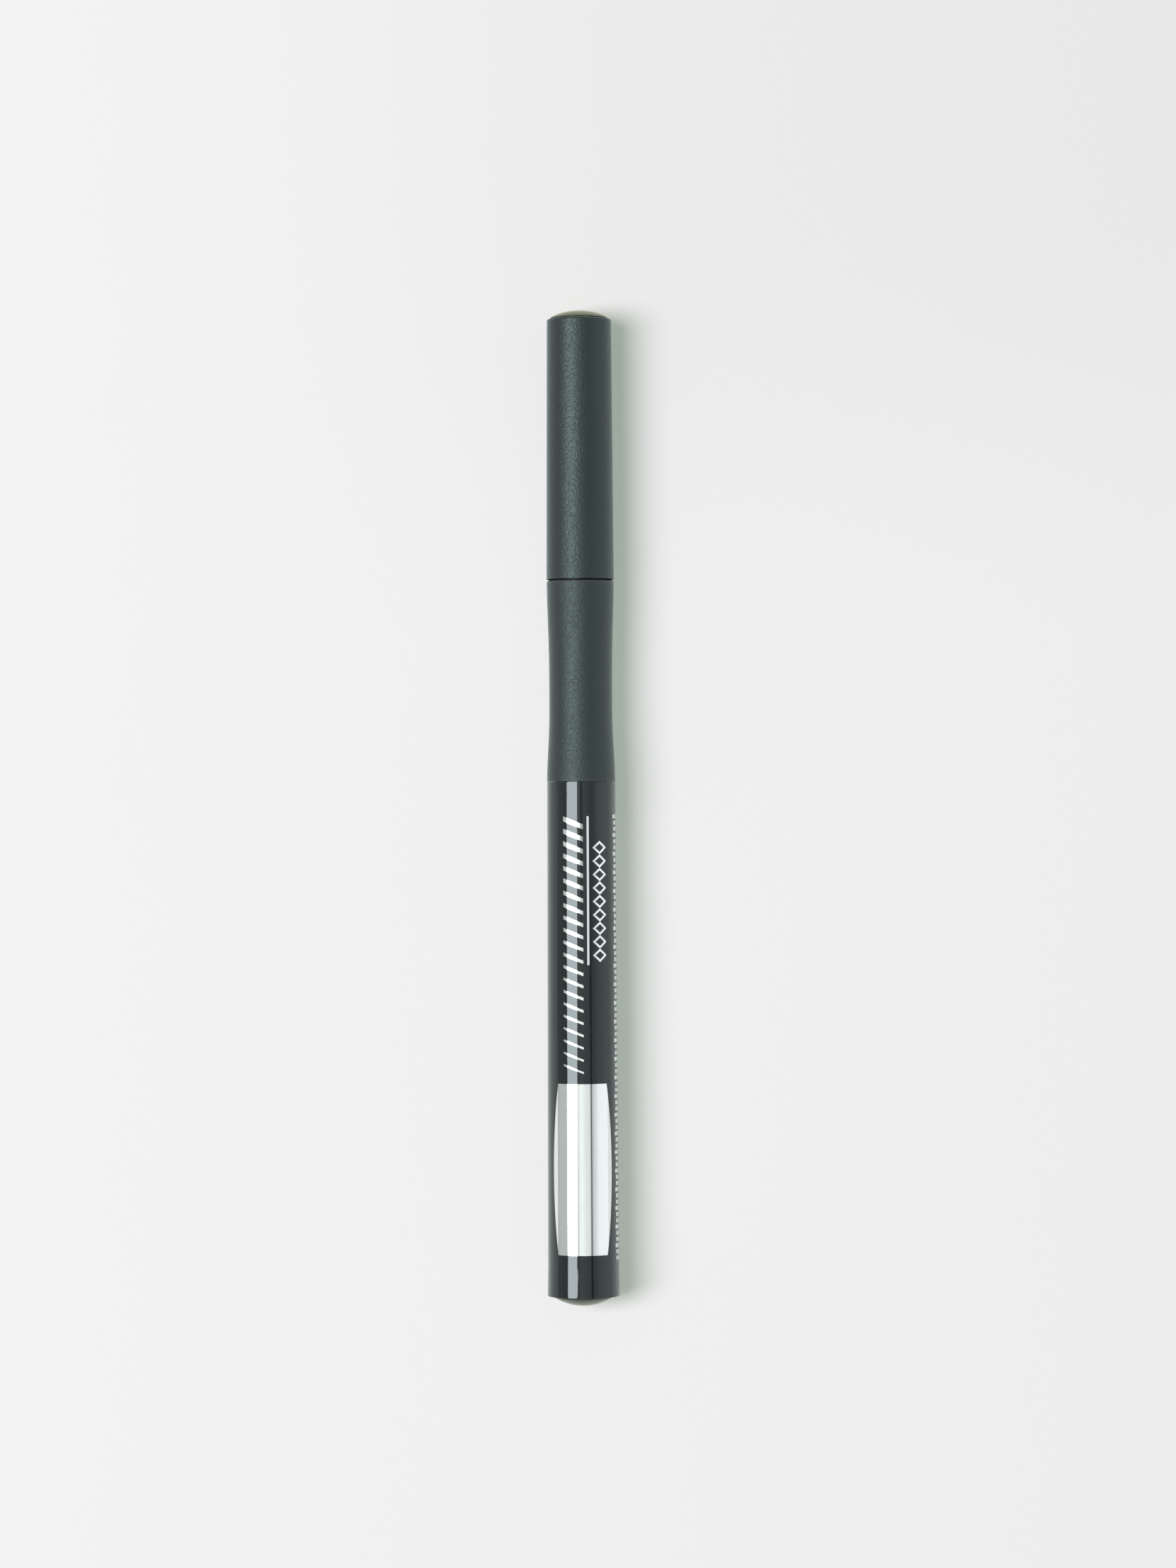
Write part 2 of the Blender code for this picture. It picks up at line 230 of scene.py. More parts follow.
# The sleeve's coat is duller than the cap's and has more sheen. Each wears in
# two rings, which lie a little inside the ends of its CAD node.
capTouch = {
    "node": "cap_shell",
    "wearInsets": (0.05, 0.1),
    "tone": 0.86,
    "speckleDepth": 0.040,
    "roughness": 0.42,
    "ior": 1.55,
    "sheen": 0.72,
    "sheenTint": (0.66, 1.0, 1.0),
}
sleeveTouch = {
    "node": "grip_sleeve",
    "wearInsets": (0.05, 0.3),
    "tone": 0.78,
    "speckleDepth": 0.037,
    "roughness": 0.495,
    "ior": 1.6,
    "sheen": 0.8,
    "sheenTint": (0.78, 1.0, 1.0),
}


def softTouchFinish(name, coat):
    # Rubbery lacquer: a fine even grain, faint handling marks, worn ends
    look = softTouchLook
    dark, pale = ([tone * coat["tone"] for tone in look[key]] for key in ("colour", "paleColour"))
    board = newFinish(name)
    mottle = board.grain(**look["mottle"])
    grain = board.grain(**look["grain"])
    rub = board.grain(**look["rub"])
    speckle = board.grain(**look["speckle"])
    colour = board.mix(mottle, dark, pale)
    colour = board.mix(grain * look["grainPaleness"], colour, pale)
    along = board.axes(board.at())[1] / mm
    rear, front = ends(coat["node"])
    rearInset, frontInset = coat["wearInsets"]
    worn = 0
    for edge in (rear + rearInset, front - frontInset):
        worn = board.near(along, edge, look["wearWidth"]) + worn
    colour = board.mix(worn * rub * look["wearPaleness"], colour, look["wornColour"])
    roughness = (mottle - 0.5) * look["mottleRoughness"] + (rub - 0.5) * look["rubRoughness"]
    roughness = (speckle - 0.5) * look["speckleRoughness"] + roughness + coat["roughness"]
    normal = board.bump(grain, look["grainDepth"])
    normal = board.bump(speckle, coat["speckleDepth"], normal=normal)
    normal = board.bump(mottle, look["mottleDepth"], normal=normal)
    board.surface({
        "Base Color": colour,
        "Roughness": roughness,
        "Normal": normal,
        "IOR": coat["ior"],
        "Specular Tint": look["specularTint"],
        "Sheen Weight": coat["sheen"],
        "Sheen Roughness": look["sheenRoughness"],
        "Sheen Tint": coat["sheenTint"],
    })


lacquerLook = {
    "colour": (0.0050, 0.0060, 0.0065),
    "roughness": 0.045,
    "wave": {"size": 3.2, "stretch": 1.6, "shift": 2},
    "waveDepth": 0.00012,
    "hairline": {"size": 0.10, "stretch": 26, "shift": 5, "contrast": 3},
    "hairlineEdge": (0.80, 0.98),
    "hairlineDepth": 0.0005,
    "hairlineStrength": 0.5,
    "hairlineRoughness": 0.05,
    "cloud": {"size": 5, "detail": 4, "stretch": 2, "shift": 9, "contrast": 1.8},
    "cloudRoughness": 0.02,
    "dustColour": (0.10, 0.105, 0.105),
    "dustSpacing": 1.7,
    "dustEdge": (0.02, 0.05),
    "dustPaleness": 0.6,
    "dustRoughness": 0.3,
}


def lacquerFinish():
    # High gloss lacquer: a slow orange-peel wave, hairlines and a little dust
    look = lacquerLook
    board = newFinish("lacquer")
    wave = board.grain(**look["wave"])
    hairline = board.band(board.grain(**look["hairline"]), *look["hairlineEdge"])
    cloud = board.grain(**look["cloud"])
    dust = board.specks(look["dustSpacing"], look["dustEdge"]) * cloud
    roughness = cloud * look["cloudRoughness"] + hairline * look["hairlineRoughness"]
    roughness = roughness + dust * look["dustRoughness"] + look["roughness"]
    normal = board.bump(wave, look["waveDepth"])
    normal = board.bump(hairline, look["hairlineDepth"], look["hairlineStrength"], normal)
    board.surface({
        "Base Color": board.mix(dust * look["dustPaleness"], look["colour"], look["dustColour"]),
        "Roughness": roughness,
        "Normal": normal,
        "IOR": 1.65,
        "Specular Tint": (0.655, 0.757, 0.785),
        "Sheen Weight": 0.78,
        "Sheen Roughness": 0.4,
        "Sheen Tint": (0.82, 1.0, 1.0),
    })


mouldedLook = {
    "cloud": {"size": 1.6, "detail": 4, "stretch": 1.5, "shift": 4, "contrast": 1.6},
    "cloudRoughness": 0.12,
    "fine": {"size": 0.22, "detail": 3, "shift": 8},
    "fineRoughness": 0.08,
    "ringSpacing": 2.6,
    "ringDistortion": 0.6,
}

# The moulded plastics, and a near-black painted shade for grooves and gaps. Rings is the strength of the
# tool rings.
mouldings = {
    "rearPlugGloss": {
        "colours": ((0.018, 0.026, 0.016), (0.027, 0.037, 0.024)),
        "roughness": 0.24, "ior": 1.42, "depth": 0.002, "rings": 0.2,
        "sheen": 0.26, "sheenTint": (0.80, 1.0, 0.60),
    },
    "capPlugSatin": {
        "colours": ((0.068, 0.085, 0.030), (0.086, 0.107, 0.040)),
        "roughness": 0.36, "ior": 1.5, "depth": 0.004, "rings": 0.2,
        "sheen": 0.5, "sheenTint": (0.95, 1.0, 0.65),
    },
    "blackMoulding": {
        "colours": ((0.016, 0.017, 0.018), (0.027, 0.028, 0.030)),
        "roughness": 0.34, "ior": 1.5, "depth": 0.003, "rings": 0.5,
    },
    # Painted shade: near-black and dull, laid where grooves and gaps between parts fall into shade
    "paintedGapShade": {
        "colours": ((0.005, 0.005, 0.006), (0.010, 0.010, 0.011)),
        "roughness": 0.6, "ior": 1.25, "depth": 0.003, "rings": 0,
    },
    "noseMoulding": {
        "colours": ((0.014, 0.015, 0.016), (0.024, 0.025, 0.027)),
        "roughness": 0.28, "ior": 1.5, "depth": 0.002, "rings": 0.35,
    },
    "guideMoulding": {
        "colours": ((0.46, 0.47, 0.47), (0.58, 0.59, 0.58)),
        "roughness": 0.42, "ior": 1.5, "depth": 0.004, "rings": 0.4,
    },
}


def mouldedFinish(name, moulding):
    # Injection moulded plastic: soft mottling, flow lines and fine tool rings. It also makes the painted
    # shade for grooves and gaps.
    look = mouldedLook
    board = newFinish(name)
    cloud = board.grain(**look["cloud"])
    fine = board.grain(**look["fine"])
    ring = board.node("ShaderNodeTexWave", {"wave_type": "BANDS", "bands_direction": "Y"}, {
        "Vector": board.at(),
        "Scale": 1 / (look["ringSpacing"] * mm),
        "Distortion": look["ringDistortion"],
        "Detail": 2,
        "Detail Scale": 1,
    }, 1)
    roughness = (cloud - 0.5) * look["cloudRoughness"] + (fine - 0.5) * look["fineRoughness"]
    normal = board.bump(fine, moulding["depth"])
    normal = board.bump(ring, moulding["depth"], moulding["rings"], normal)
    board.surface({
        "Base Color": board.mix(cloud, *moulding["colours"]),
        "Roughness": roughness + moulding["roughness"],
        "Normal": normal,
        "IOR": moulding["ior"],
        "Sheen Weight": moulding.get("sheen", 0),
        "Sheen Roughness": 0.4,
        "Sheen Tint": moulding.get("sheenTint", (1, 1, 1)),
    })


linerLook = {
    "colour": (0.50, 0.52, 0.52),
    "paleColour": (0.64, 0.655, 0.645),
    "cloud": {"size": 2.2, "detail": 4, "stretch": 1.4, "shift": 6, "contrast": 1.5},
    "cloudRoughness": 0.15,
    "roughness": 0.36,
    "fine": {"size": 0.3, "detail": 3, "shift": 2},
    "fineDepth": 0.004,
}


def linerFinish():
    # Natural polypropylene: milky and a little waxy
    look = linerLook
    board = newFinish("liner")
    cloud = board.grain(**look["cloud"])
    board.surface({
        "Base Color": board.mix(cloud, look["colour"], look["paleColour"]),
        "Roughness": (cloud - 0.5) * look["cloudRoughness"] + look["roughness"],
        "Normal": board.bump(board.grain(**look["fine"]), look["fineDepth"]),
        "IOR": 1.5,
        "Transmission Weight": 0.18,
        "Subsurface Weight": 0.25,
        "Subsurface Radius": (0.001, 0.001, 0.001),
        "Subsurface Scale": 0.5,
    })


fibreLook = {
    "strand": {"detail": 4, "stretch": 14, "shift": 3, "contrast": 1.8},
    "clump": {"detail": 3, "stretch": 5, "shift": 6},
    "clumpSize": 5,          # strands across a clump
    "clumpShare": 0.3,
    "roughness": 0.66,
    "strandRoughness": 0.2,
}

# The fibre pieces, each with the size of a strand and the depth of its bump
fibres = {
    "felt": {"colours": ((0.008, 0.008, 0.009), (0.030, 0.030, 0.033)), "size": 0.07, "depth": 0.02},
    "wick": {"colours": ((0.012, 0.012, 0.014), (0.040, 0.040, 0.044)), "size": 0.10, "depth": 0.03},
    "reservoir": {"colours": ((0.013, 0.013, 0.016), (0.050, 0.050, 0.056)), "size": 0.16, "depth": 0.05},
}


def fibreFinish(name, fibre):
    # Bonded fibres that run along the pen, soaked with ink
    look = fibreLook
    board = newFinish(name)
    strand = board.grain(fibre["size"], **look["strand"])
    clump = board.grain(fibre["size"] * look["clumpSize"], **look["clump"])
    tone = strand * (1 - look["clumpShare"]) + clump * look["clumpShare"]
    board.surface({
        "Base Color": board.mix(tone, *fibre["colours"]),
        "Roughness": tone * look["strandRoughness"] + look["roughness"],
        "Normal": board.bump(tone, fibre["depth"]),
        "IOR": 1.4,
        "Sheen Weight": 0.1,
        "Sheen Roughness": 0.5,
    })


wrapLook = {
    "colour": (0.74, 0.76, 0.77),
    "paleColour": (0.86, 0.87, 0.88),
    "roughness": 0.14,
    "pull": {"size": 0.35, "detail": 3, "stretch": 20, "shift": 5, "contrast": 1.6},
    "pullDepth": 0.006,
    "pullRoughness": 0.18,
}


def wrapFinish():
    # Clear film, wound round the fibre: faint lengthwise pull lines
    look = wrapLook
    board = newFinish("wrap")
    pull = board.grain(**look["pull"])
    board.surface({
        "Base Color": board.mix(pull, look["colour"], look["paleColour"]),
        "Roughness": pull * look["pullRoughness"] + look["roughness"],
        "Normal": board.bump(pull, look["pullDepth"]),
        "Transmission Weight": 0.7,
        "IOR": 1.5,
    })


foilLook = {
    "colour": (0.86, 0.885, 0.88),
    "shadeColour": (0.78, 0.80, 0.795),
    "roughness": 0.035,
    "roll": {"size": 0.33, "detail": 3, "stretch": 15, "shift": 4, "contrast": 1.6},
    "rollDepth": 0.00008,
    "rollShade": 0.5,
    "rollRoughness": 0.03,
    "press": {"size": 1.8, "detail": 4, "shift": 8, "contrast": 1.6},
    "pressDepth": 0.00016,
    "pressShade": 0.3,
    "pressRoughness": 0.02,
    "pitColour": (0.30, 0.31, 0.31),
    "pitSpacing": 0.9,
    "pitEdge": (0.03, 0.08),
    "pittedFrom": (0.45, 0.75),     # where the pressing is firm enough for pits
    "pitShade": 0.7,
    "pitRoughness": 0.25,
    "pitDullness": 0.4,
}


def foilFinish():
    # Hot-stamped foil: a bright metal with fine roller streaks and small pits
    look = foilLook
    board = newFinish("foil")
    roll = board.grain(**look["roll"])
    press = board.grain(**look["press"])
    pit = board.specks(look["pitSpacing"], look["pitEdge"]) * board.band(press, *look["pittedFrom"])
    shade = roll * look["rollShade"] + press * look["pressShade"]
    colour = board.mix(shade, look["colour"], look["shadeColour"])
    roughness = roll * look["rollRoughness"] + press * look["pressRoughness"]
    normal = board.bump(press, look["pressDepth"])
    board.surface({
        "Base Color": board.mix(pit * look["pitShade"], colour, look["pitColour"]),
        "Metallic": 1 - pit * look["pitDullness"],
        "Roughness": roughness + pit * look["pitRoughness"] + look["roughness"],
        "Normal": board.bump(roll, look["rollDepth"], normal=normal),
    })


inkLook = {
    "colour": (0.60, 0.63, 0.61),
    "paleColour": (0.78, 0.80, 0.78),
    "roughness": 0.28,
    "cover": {"size": 0.14, "detail": 3, "shift": 5, "contrast": 1.5},
    "coverDepth": 0.002,
    "coverRoughness": 0.15,
}


def inkFinish():
    # Opaque pale ink that covers a little unevenly
    look = inkLook
    board = newFinish("paleInk")
    cover = board.grain(**look["cover"])
    board.surface({
        "Base Color": board.mix(cover, look["colour"], look["paleColour"]),
        "Roughness": cover * look["coverRoughness"] + look["roughness"],
        "Normal": board.bump(cover, look["coverDepth"]),
        "IOR": 1.5,
    })


softTouchFinish("capSoftTouch", capTouch)
softTouchFinish("sleeveSoftTouch", sleeveTouch)
lacquerFinish()
for name, moulding in mouldings.items():
    mouldedFinish(name, moulding)
linerFinish()
for name, fibre in fibres.items():
    fibreFinish(name, fibre)
wrapFinish()
foilFinish()
inkFinish()
print("finishes made:", len(finishes))


# Turned pieces. Their sizes are in millimetres.

def arcCorner(before, corner, after, radius, steps=6, mostOfSide=0.9):
    # The rounding of a corner, kept within both of its sides
    toBefore = before - corner
    toAfter = after - corner
    halfAngle = toBefore.angle(toAfter) / 2
    shorter = min(toBefore.length, toAfter.length)
    reach = min(radius / math.tan(halfAngle), shorter * mostOfSide)
    radius = reach * math.tan(halfAngle)
    middle = (toBefore.normalized() + toAfter.normalized()).normalized()
    centre = corner + middle * (radius / math.sin(halfAngle))
    start = corner + toBefore.normalized() * reach - centre
    sweep = start.angle_signed(corner + toAfter.normalized() * reach - centre)
    points = []
    for step in range(steps + 1):
        turn = -sweep * step / steps
        points.append((centre.x + start.x * math.cos(turn) - start.y * math.sin(turn),
                       centre.y + start.x * math.sin(turn) + start.y * math.cos(turn)))
    return points


def rounded(corners):
    # A corner with a third value is rounded by that radius
    points = []
    for index, corner in enumerate(corners):
        if len(corner) == 2:
            points.append(corner)
            continue
        before = Vector(corners[index - 1][:2])
        after = Vector(corners[(index + 1) % len(corners)][:2])
        points += arcCorner(before, Vector(corner[:2]), after, corner[2])
    return points


def withHoldingRings(points, closed, margin=0.12):
    # Rings close to the ends of a stretch of over five margins keep its
    # shading straight
    held = []
    for index, here in enumerate(points):
        held.append(here)
        if index == len(points) - 1 and not closed:
            break
        there = points[(index + 1) % len(points)]
        span = math.dist(here, there)
        if span > margin * 5:
            for share in (margin / span, 1 - margin / span):
                held.append(tuple(a + (b - a) * share for a, b in zip(here, there)))
    return held


def eased(share, power):
    # From 0 to 1, level at both ends; the power moves the steep part
    bent = share ** power
    return bent * bent * (3 - 2 * bent)


def curve(start, end, steps, bend):
    # Points after the start, up to the end. bend turns the share of the way
    # along the pen into the share of the change in radius.
    points = []
    for step in range(1, steps + 1):
        share = step / steps
        radius = start[0] + (end[0] - start[0]) * bend(share)
        points.append((radius, start[1] + (end[1] - start[1]) * share))
    return points


def makePiece(name, body, looks):
    # Gives the finished bmesh to a new object, shaded smooth up to its creases
    bmesh.ops.recalc_face_normals(body, faces=body.faces)
    mesh = bpy.data.meshes.new(name)
    body.to_mesh(mesh)
    body.free()
    for look in looks:
        mesh.materials.append(finishes[look])
    mesh.shade_smooth()
    mesh.set_sharp_from_angle(angle=creaseAngle)
    piece = bpy.data.objects.new(name, mesh)
    bpy.context.scene.collection.objects.link(piece)
    return piece


def turnBody(body, corners, finishAt=None, turns=smoothTurns):
    # Turns a profile about the pen's axis. It closes on itself, or starts
    # and ends on the axis. finishAt picks a face's look from its place.
    points = rounded(corners)
    closed = points[0][0] > 0
    points = withHoldingRings(points, closed)
    rings = []
    for radius, along in points:
        angles = [2 * math.pi * index / turns for index in range(turns if radius > 0 else 1)]
        rings.append([body.verts.new(onPen(radius, angle, along)) for angle in angles])
    pairs = list(zip(range(len(points)), range(1, len(points))))
    if closed:
        pairs.append((len(points) - 1, 0))
    for first, second in pairs:
        middle = [(a + b) / 2 for a, b in zip(points[first], points[second])]
        for index in range(turns):
            after = index + 1
            spots = [(first, index), (first, after), (second, after), (second, index)]
            verts = [rings[ring][spot % len(rings[ring])] for ring, spot in spots]
            face = body.faces.new(list(dict.fromkeys(verts)))
            face.material_index = finishAt(*middle) if finishAt else 0


def turnPiece(name, corners, looks, finishAt=None):
    body = bmesh.new()
    turnBody(body, corners, finishAt)
    return makePiece(name, body, looks)


def fit(piece, body, slot, *nodes):
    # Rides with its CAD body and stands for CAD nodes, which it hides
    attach(piece, body)
    if nodes:
        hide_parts(*nodes)


def sphereDome(rear, radius, rise, steps=20):
    # From the rim at this place to an apex that points to the rear
    sphere = (radius ** 2 + rise ** 2) / (2 * rise)
    rimAngle = math.asin(radius / sphere)
    points = []
    for step in range(steps):
        angle = rimAngle * (1 - step / steps)
        points.append((sphere * math.sin(angle), rear + sphere - rise - sphere * math.cos(angle)))
    points.append((0, rear - rise))
    return points


def softDome(front, radius, rise, steps=20):
    # From an apex that points to the front down to the rim, halfway between
    # a flatter ellipse and a part of a sphere
    sphere = (radius ** 2 + rise ** 2) / (2 * rise)
    points = [(0, front + rise)]
    for step in range(1, steps + 1):
        angle = math.pi / 2 * step / steps
        out = radius * math.sin(angle)
        onSphere = math.sqrt(sphere ** 2 - out ** 2) - sphere + rise
        points.append((out, front + (rise * math.cos(angle) + onSphere) / 2))
    return points


barrel = {
    "frontRadius": 4.73,
    "taperRadius": 4.925,
    "rearRadius": 5.0,
    "boreRadius": 3.8,
    "flareLength": 4.2,
    "flareSteps": 10,
    "bandLength": 0.2,       # the straight end of the flare
    "rim": 0.4,
    "rimFillet": 0.04,
    "seatDepth": 0.9,
    "frontFillet": 0.03,
    "rearFillet": 0.08,
    "filletGap": 0.03,       # a ring this far from the fillet keeps the gloss straight
    "rearReach": 0.09,       # the rim stands a little further out than the CAD's
    "bareRim": 0.05,         # the rim's inner edge and the front end have no lacquer
    "bareFront": 0.02,
}


def makeBarrel():
    # A slight taper, and a plain cone that flares to the rear
    rear, front = ends("barrel")
    rear -= barrel["rearReach"]
    seat = rear + barrel["seatDepth"]
    seatRadius = barrel["rearRadius"] - barrel["rim"]
    flareStart = (barrel["taperRadius"], rear + barrel["flareLength"])
    flareEnd = (barrel["rearRadius"], rear + barrel["bandLength"])
    corners = [
        (barrel["boreRadius"], front),
        (barrel["frontRadius"], front, barrel["frontFillet"]),
        flareStart,
        *curve(flareStart, flareEnd, barrel["flareSteps"], lambda share: share),
        (barrel["rearRadius"], rear + barrel["rearFillet"] + barrel["filletGap"]),
        (barrel["rearRadius"], rear, barrel["rearFillet"]),
        (seatRadius, rear, barrel["rimFillet"]),
        (seatRadius, seat),
        (barrel["boreRadius"], seat),
    ]

    def finishAt(radius, along):
        outside = radius > seatRadius + barrel["bareRim"]
        return 0 if outside and along < front - barrel["bareFront"] else 1

    piece = turnPiece("barrelTube", corners, ["lacquer", "blackMoulding"], finishAt)
    fit(piece, "pen", "barrel_gloss", "barrel")


rearPlug = {
    "headRadius": 4.5,
    "headThickness": 0.8,
    "headSeat": 0.2,         # how far inside the barrel the head has its full radius
    "rise": 1.5,
    "stemRadius": 3.7,
    "stemWall": 0.9,
    "stemFloor": 0.9,
    "stemFillet": 0.25,
    "hollowFillet": 0.1,
    "floorFillet": 0.2,
    "lipReach": 0.06,
    "lipFillet": 0.06,
    "lipClear": 0.02,        # the dome starts at least this far from its lip
    "grooveDepth": 0.18,
    "grooveWidth": 0.2,
    "grooveSeat": 0.1,       # how far inside the barrel the groove starts
    "paintedShadeReach": 0.01,       # how far the groove's dark look goes round the lip
}


def makeRearPlug():
    rear = ends("barrel")[0]
    stemTop = ends("rear_plug")[1]
    neck = rear + rearPlug["headThickness"]
    floor = neck + rearPlug["stemFloor"]
    hollow = rearPlug["stemRadius"] - rearPlug["stemWall"]
    # The dome springs from a fine groove just outside the barrel's rim
    lip = rear - rearPlug["grooveWidth"]
    dome = sphereDome(rear, rearPlug["headRadius"], rearPlug["rise"])
    dome = [spot for spot in dome if spot[1] < lip - rearPlug["lipClear"]]
    lipRadius = dome[0][0] + rearPlug["lipReach"]
    grooveRadius = lipRadius - rearPlug["grooveDepth"]
    corners = [
        (0, floor),
        (hollow, floor, rearPlug["floorFillet"]),
        (hollow, stemTop, rearPlug["hollowFillet"]),
        (rearPlug["stemRadius"], stemTop, rearPlug["stemFillet"]),
        (rearPlug["stemRadius"], neck),
        (rearPlug["headRadius"], neck),
        (rearPlug["headRadius"], rear + rearPlug["headSeat"]),
        (grooveRadius, rear + rearPlug["grooveSeat"]),
        (grooveRadius, lip),
        (lipRadius, lip, rearPlug["lipFillet"]),
        *dome,
    ]

    def finishAt(radius, along):
        # Painted shade lies in the groove between the dome and the barrel's rim, a little way round the
        # lip
        atGroove = lip - rearPlug["paintedShadeReach"] < along < rear + rearPlug["headSeat"]
        return 1 if atGroove and radius < lipRadius else 0

    piece = turnPiece("rearPlugDome", corners, ["rearPlugGloss", "paintedGapShade"], finishAt)
    fit(piece, "pen", "rear_plug_gloss", "rear_plug")


grip = {
    "ringRadius": 4.42,
    "ringHeight": 0.2,
    "ringFillet": 0.03,
    "topRadius": 4.64,
    "waistRadius": 4.358,
    "endRadius": 4.72,
    "boreRadius": 3.6,
    "seatRadius": 4.1,
    "seatDepth": 0.9,
    "waistHeight": 10.8,
    "topFillet": 0.09,
    "endFillet": 0.04,
    "topPower": 1.6,
    "endPower": 1.25,
    "curveSteps": 26,
    "reach": 0.08,           # closes most of the CAD's clearance to the barrel
    "topReach": 0.05,        # and this narrows the gap below the cap
    "paintedShadeOut": 0.02,         # how far the ring's dark look goes on, out and down
    "paintedShadeDown": 0.05,
    "paintedShadeEnd": 0.6,          # the share of the rear fillet's length that is dark too
}


def makeGrip():
    rear, ringTop = ends("grip_sleeve")
    rear -= grip["reach"]
    top = ringTop - grip["ringHeight"] + grip["topReach"]
    seat = ringTop - grip["seatDepth"]
    waist = (grip["waistRadius"], rear + grip["waistHeight"])
    upper = curve((grip["topRadius"], top), waist, grip["curveSteps"],
                  lambda share: 1 - eased(1 - share, grip["topPower"]))
    lower = curve(waist, (grip["endRadius"], rear), grip["curveSteps"],
                  lambda share: eased(share, grip["endPower"]))
    corners = [
        (grip["seatRadius"], ringTop),
        (grip["ringRadius"], ringTop, grip["ringFillet"]),
        (grip["ringRadius"], top),
        (grip["topRadius"], top, grip["topFillet"]),
        *upper,
        *lower[:-1],
        (grip["endRadius"], rear, grip["endFillet"]),
        (grip["boreRadius"], rear),
        (grip["boreRadius"], seat),
        (grip["seatRadius"], seat),
    ]

    def finishAt(radius, along):
        # Painted shade on the ring below the cap's mouth, and at the sleeve's rear end up to part of its
        # fillet
        onRing = radius < grip["ringRadius"] + grip["paintedShadeOut"] and along > top - grip["paintedShadeDown"]
        atEnd = along < rear + grip["endFillet"] * grip["paintedShadeEnd"]
        return 1 if onRing or atEnd else 0

    piece = turnPiece("gripSleeve", corners, ["sleeveSoftTouch", "paintedGapShade"], finishAt)
    fit(piece, "pen", "sleeve_soft_touch", "grip_sleeve")


section = {
    "tailRadius": 3.7,
    "tailLumen": 2.8,
    "tailLength": 7.0,
    "joinSlope": 0.1,
    "coreRadius": 3.5,
    "coreLumen": 2.6,
    "flangeRadius": 4.0,
    "flangeThickness": 0.8,
    "flangeFillet": 0.06,
    "neckLength": 8.5,
    "beadHeight": 0.06,
    "beadAt": 3.0,
    "beadLength": 0.8,
    "beadFillet": 0.2,
    "landRadius": 3.0,
    "landLength": 2.5,
    "landBore": 2.05,
    "stemFloor": 7.3,
    "fillet": 0.25,
    "ribCount": 6,
    "ribHeight": 0.05,
    "ribWidth": 0.45,
    "ribStart": 4.6,
    "ribEnd": 7.9,
    "ribFade": 0.3,          # each end of a rib falls away over this length
    "ribSink": 0.05,         # how deep its foot lies in the neck
    # Across a rib, as shares of its width and of its height
    "ribOutline": [(-0.5, 0.0), (-0.3, 0.7), (0.0, 1.0), (0.3, 0.7), (0.5, 0.0)],
}


def addRib(body, angle, start, end):
    # A low rounded rib along the neck
    fade, base = section["ribFade"], section["coreRadius"]
    foot = section["ribOutline"][-1][0]
    rings = []
    for along, height in ((start, 0.0), (start + fade, 1.0), (end - fade, 1.0), (end, 0.0)):
        outline = [(share, rise * section["ribHeight"] * height) for share, rise in section["ribOutline"]]
        outline = [(-foot, -section["ribSink"]), *outline, (foot, -section["ribSink"])]
        ring = []
        for share, lift in outline:
            turn = angle + share * section["ribWidth"] / base
            ring.append(body.verts.new(onPen(base + lift, turn, along)))
        rings.append(ring)
    for first, second in zip(rings, rings[1:]):
        for index in range(len(first)):
            after = (index + 1) % len(first)
            body.faces.new((first[index], first[after], second[after], second[index]))
    body.faces.new(rings[0])
    body.faces.new(rings[-1])


def makeSection():
    tail, landTop = ends("front_section")
    joinTop = tail + section["tailLength"]
    slope = section["joinSlope"]
    neckTop = landTop - section["landLength"]
    flangeTop = neckTop - section["neckLength"]
    flangeBottom = flangeTop - section["flangeThickness"]
    beadRadius = section["coreRadius"] + section["beadHeight"]
    bead = flangeTop + section["beadAt"]
    quarter = section["beadLength"] / 4
    floor = landTop - section["stemFloor"] - section["landLength"]
    corners = [
        (section["landBore"], landTop),
        (section["landRadius"], landTop, section["fillet"]),
        (section["landRadius"], neckTop),
        (section["coreRadius"], neckTop, section["fillet"]),
        (section["coreRadius"], bead + quarter * 4, section["beadFillet"]),
        (beadRadius, bead + quarter * 3, section["beadFillet"]),
        (beadRadius, bead + quarter, section["beadFillet"]),
        (section["coreRadius"], bead, section["beadFillet"]),
        (section["coreRadius"], flangeTop),
        (section["flangeRadius"], flangeTop, section["flangeFillet"]),
        (section["flangeRadius"], flangeBottom),
        (section["coreRadius"], flangeBottom),
        (section["coreRadius"], joinTop + slope),
        (section["tailRadius"], joinTop - slope),
        (section["tailRadius"], tail, section["fillet"]),
        (section["tailLumen"], tail),
        (section["tailLumen"], joinTop - slope),
        (section["coreLumen"], joinTop + slope),
        (section["coreLumen"], floor),
        (section["landBore"], floor),
    ]
    body = bmesh.new()
    turnBody(body, corners)
    for index in range(section["ribCount"]):
        angle = 2 * math.pi * (index + 0.5) / section["ribCount"]
        addRib(body, angle, flangeTop + section["ribStart"], flangeTop + section["ribEnd"])
    piece = makePiece("sectionCore", body, ["blackMoulding"])
    fit(piece, "pen", "section_plastic", "front_section")


nose = {
    "baseRadius": 2.9,
    "baseLength": 0.9,
    "baseFillet": 0.08,
    "tipRadius": 1.25,
    "tipFillet": 0.2,
    "boreRadius": 0.95,
    "boreFillet": 0.06,
    "stemRadius": 1.95,
    "stemLength": 9.7,
    "stemFillet": 0.25,
    "bellyPower": 1.35,
    "steps": 22,
}


